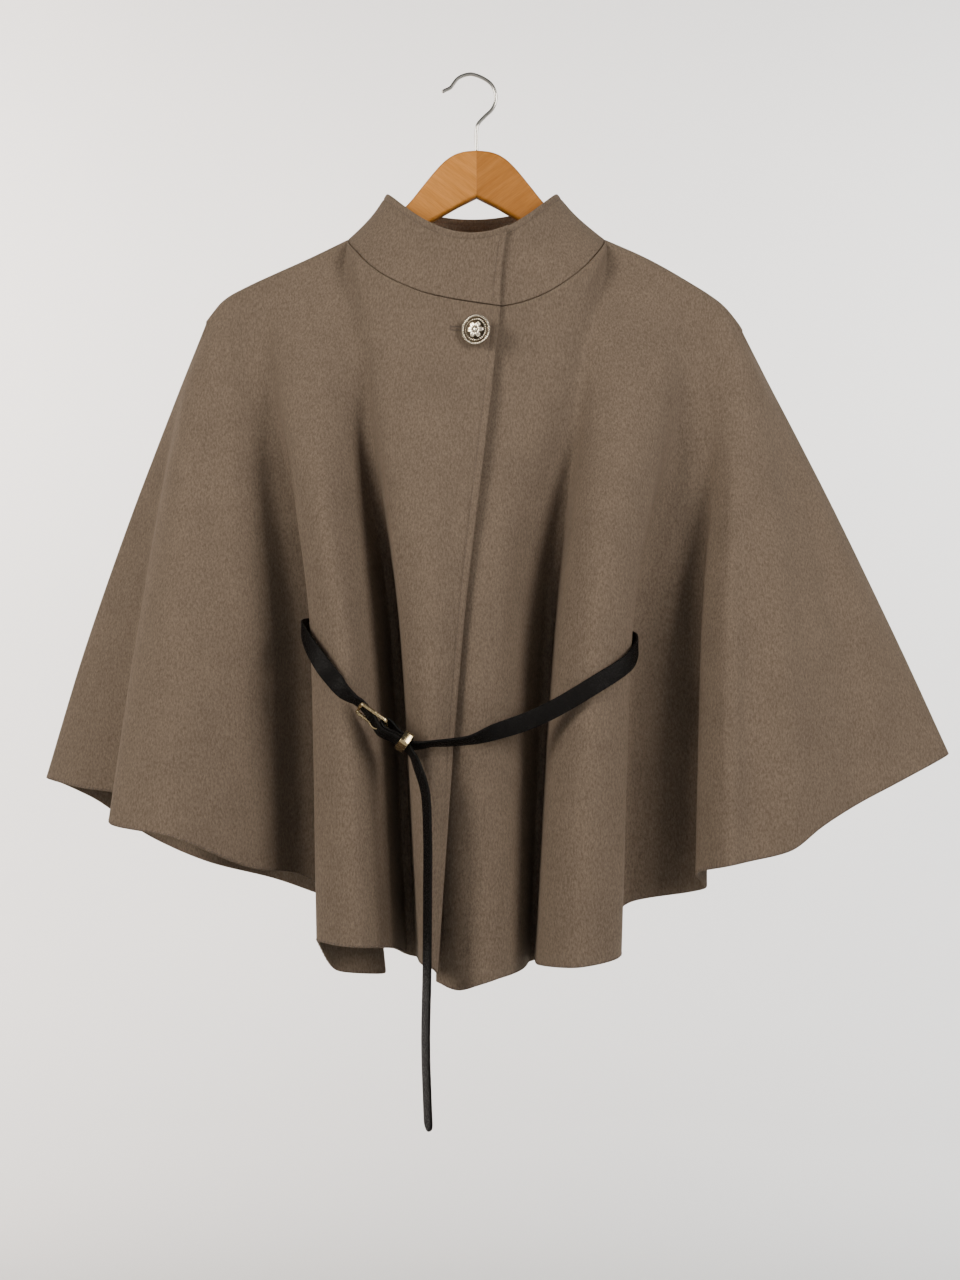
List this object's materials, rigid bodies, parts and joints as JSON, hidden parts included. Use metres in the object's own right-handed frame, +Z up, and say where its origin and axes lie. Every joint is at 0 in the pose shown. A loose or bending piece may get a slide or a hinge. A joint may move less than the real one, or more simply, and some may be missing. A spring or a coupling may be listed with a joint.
{
  "type": "wool cloak on a hanger",
  "caption": "Hip-length taupe wool cape with a funnel collar, a metal button and a slim black leather belt, hung on a wooden hanger by its wire hook.",
  "frame": {"origin": "inner top of the hook's bend, where the hanger rests on a rod or a wall hook", "axes": "+X to the viewer's right, which is the wearer's left; +Y from the front to the back; +Z up"},
  "size_m": [0.8106, 0.1835, 0.9153],
  "materials": {
    "wool": "felted, soft nap",
    "button_metal": "polished, worn",
    "belt_leather": "fine grain, semi-gloss",
    "buckle_gold": "polished",
    "hanger_wood": "clear varnish",
    "hook_steel": "polished wire"
  },
  "bodies": {
    "root": {"front_right": "wool", "front_left": "wool", "back": "wool", "collar": "wool", "button": "button_metal", "belt_strap": "belt_leather", "buckle_frame": "buckle_gold", "buckle_prong": "buckle_gold", "belt_keeper": "buckle_gold", "hanger_arm_right": "hanger_wood", "hanger_arm_left": "hanger_wood", "hanger_hook": "hook_steel"}
  },
  "joints": []
}
